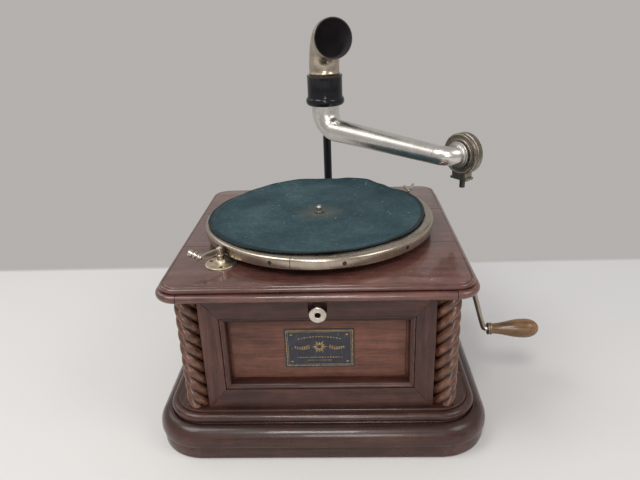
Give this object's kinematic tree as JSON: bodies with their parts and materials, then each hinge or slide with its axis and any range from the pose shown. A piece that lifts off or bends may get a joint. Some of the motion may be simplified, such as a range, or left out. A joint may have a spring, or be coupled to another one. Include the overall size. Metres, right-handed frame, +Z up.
{
  "type": "gramophone",
  "caption": "Table gramophone with moulded wooden case, rope-twist corner columns, turntable, winding crank, tonearm and horn elbow on a back bracket; the horn isn't fitted.",
  "frame": {"origin": "centre of the base's underside, on the table", "axes": "+Z up, -Y towards the front of the case, +X towards the crank"},
  "size_m": [0.4126, 0.3779, 0.4081],
  "materials": {
    "wood_base": "satin, worn varnish",
    "wood_case": "satin varnish",
    "wood_panel": "satin varnish",
    "wood_column": "satin varnish",
    "wood_top": "gloss varnish",
    "badge": "gloss with a thin gilt border",
    "fitting_nickel": "worn nickel plate",
    "enamel_black": "gloss black enamel",
    "steel": "bare",
    "brass": "machined",
    "platter_wood": "dull varnish",
    "rim_nickel": "worn nickel plate",
    "felt": "teal felt",
    "leather": "dull",
    "grip_wood": "worn varnish",
    "arm_nickel": "worn nickel plate",
    "elbow_nickel": "worn nickel plate, yellowed",
    "rubber": "dull",
    "mica": "clear, slightly yellow"
  },
  "bodies": {
    "base": {"base_skirt": "wood_base", "base_moulding": "wood_base", "base_cap": "wood_base", "bottom_board": "wood_base", "front_frame": "wood_case", "panel_mouldings": "wood_case", "front_panel": "wood_panel", "side_frames": "wood_case", "side_panels": "wood_panel", "back_board": "wood_case", "corner_posts": "wood_case", "columns_left": "wood_column", "columns_right": "wood_column", "rail_front": "wood_top", "rail_sides": "wood_top", "top_board": "wood_top", "badge_plate": "badge", "lock_plate": "fitting_nickel", "crank_escutcheon": "fitting_nickel", "bracket_foot": "enamel_black", "bracket_rod": "enamel_black", "bracket_ring": "enamel_black", "bracket_screws": "steel", "brake_plate": "fitting_nickel", "regulator_plate": "fitting_nickel", "motor_plates": "steel", "motor_pillars": "steel"},
    "turntable": {"platter": "platter_wood", "rim_band": "rim_nickel", "rim_screws": "steel", "mat": "felt", "spindle": "rim_nickel", "governor_wheel": "brass"},
    "brake": {"brake_lever": "fitting_nickel", "brake_handle": "fitting_nickel", "brake_pad": "leather"},
    "regulator": {"regulator_knob": "fitting_nickel"},
    "pad_lever": {"regulator_link": "steel"},
    "crank": {"crank_arm": "fitting_nickel", "winding_pinion": "brass"},
    "grip": {"crank_grip": "grip_wood", "grip_ferrule": "fitting_nickel"},
    "barrel": {"spring_barrel": "steel", "mainspring": "steel"},
    "arbor": {"barrel_arbor": "steel", "crown_wheel": "brass"},
    "click": {"click": "steel"},
    "second_arbor": {"second_wheel": "brass"},
    "governor": {"governor_shaft": "steel", "governor_weights": "brass"},
    "tonearm": {"tonearm_neck": "arm_nickel", "tonearm_bend": "arm_nickel", "tonearm_tube": "arm_nickel", "tonearm_crook": "arm_nickel"},
    "soundbox": {"soundbox_case": "arm_nickel", "soundbox_gaskets": "rubber", "diaphragm": "mica", "needle_bar": "steel"},
    "needle_screw": {"needle_screw": "arm_nickel"},
    "elbow": {"elbow_neck": "elbow_nickel", "horn_elbow": "elbow_nickel", "elbow_mouth": "elbow_nickel"}
  },
  "joints": [
    {"name": "turntable_spin", "type": "hinge", "parent": "base", "child": "turntable", "pos_m": [0, -0.0046, 0.195], "axis": [0, 0, 1], "continuous": true},
    {"name": "second_spin", "type": "hinge", "parent": "base", "child": "second_arbor", "pos_m": [0.02129, -0.03547, 0.112], "axis": [0, 0, 1], "continuous": true},
    {"name": "barrel_spin", "type": "hinge", "parent": "base", "child": "barrel", "pos_m": [0.062, 0, 0.135], "axis": [0, 0, 1], "continuous": true},
    {"name": "governor_spin", "type": "hinge", "parent": "base", "child": "governor", "pos_m": [-0.00528, 0.02531, 0.13], "axis": [0, 0, 1], "continuous": true},
    {"name": "crank_turn", "type": "hinge", "parent": "base", "child": "crank", "pos_m": [0.13, 0, 0.105], "axis": [1, 0, 0], "continuous": true},
    {"name": "arbor_turn", "type": "hinge", "parent": "base", "child": "arbor", "pos_m": [0.062, 0, 0.092], "axis": [0, 0, 1], "continuous": true},
    {"name": "grip_spin", "type": "hinge", "parent": "crank", "child": "grip", "pos_m": [0.212, -0.06078, 0.08431], "axis": [1, 0, 0], "continuous": true},
    {"name": "click_swing", "type": "hinge", "parent": "base", "child": "click", "pos_m": [0.04, 0.014, 0.08], "axis": [0, 0, 1], "range_deg": [-20, 0]},
    {"name": "brake_swing", "type": "hinge", "parent": "base", "child": "brake", "pos_m": [-0.0966, -0.0955, 0.198], "axis": [0, 0, 1], "range_deg": [0, 35]},
    {"name": "regulator_turn", "type": "hinge", "parent": "base", "child": "regulator", "pos_m": [0.112, 0.095, 0.19], "axis": [0, 0, 1], "range_deg": [-35, 35]},
    {"name": "pad_lever_swing", "type": "hinge", "parent": "base", "child": "pad_lever", "pos_m": [0.01708, 0.03859, 0.165], "axis": [0, 0, 1], "range_deg": [-3, 3]},
    {"name": "tonearm_swing", "type": "hinge", "parent": "base", "child": "tonearm", "pos_m": [0.006, 0.172, 0.3], "axis": [0, 0, 1], "range_deg": [-40, 50]},
    {"name": "soundbox_turn", "type": "hinge", "parent": "tonearm", "child": "soundbox", "pos_m": [0.14175, -0.00113, 0.2645], "axis": [0.7869, 0.617, 0], "range_deg": [-100, 0]},
    {"name": "needle_screw_turn", "type": "hinge", "parent": "soundbox", "child": "needle_screw", "pos_m": [0.163, 0.01553, 0.2321], "axis": [0.7869, 0.617, 0], "range_deg": [-360, 0]},
    {"name": "horn_elbow_swivel", "type": "hinge", "parent": "base", "child": "elbow", "pos_m": [0.006, 0.172, 0.33], "axis": [0, 0, 1], "range_deg": [-30, 30]}
  ],
  "couplings": [
    {"joint": "second_spin", "follows": "turntable_spin", "ratio": -0.25},
    {"joint": "barrel_spin", "follows": "turntable_spin", "ratio": 0.03125},
    {"joint": "governor_spin", "follows": "turntable_spin", "ratio": -8},
    {"joint": "arbor_turn", "follows": "crank_turn", "ratio": 0.33333},
    {"joint": "pad_lever_swing", "follows": "regulator_turn", "ratio": -0.05746}
  ]
}
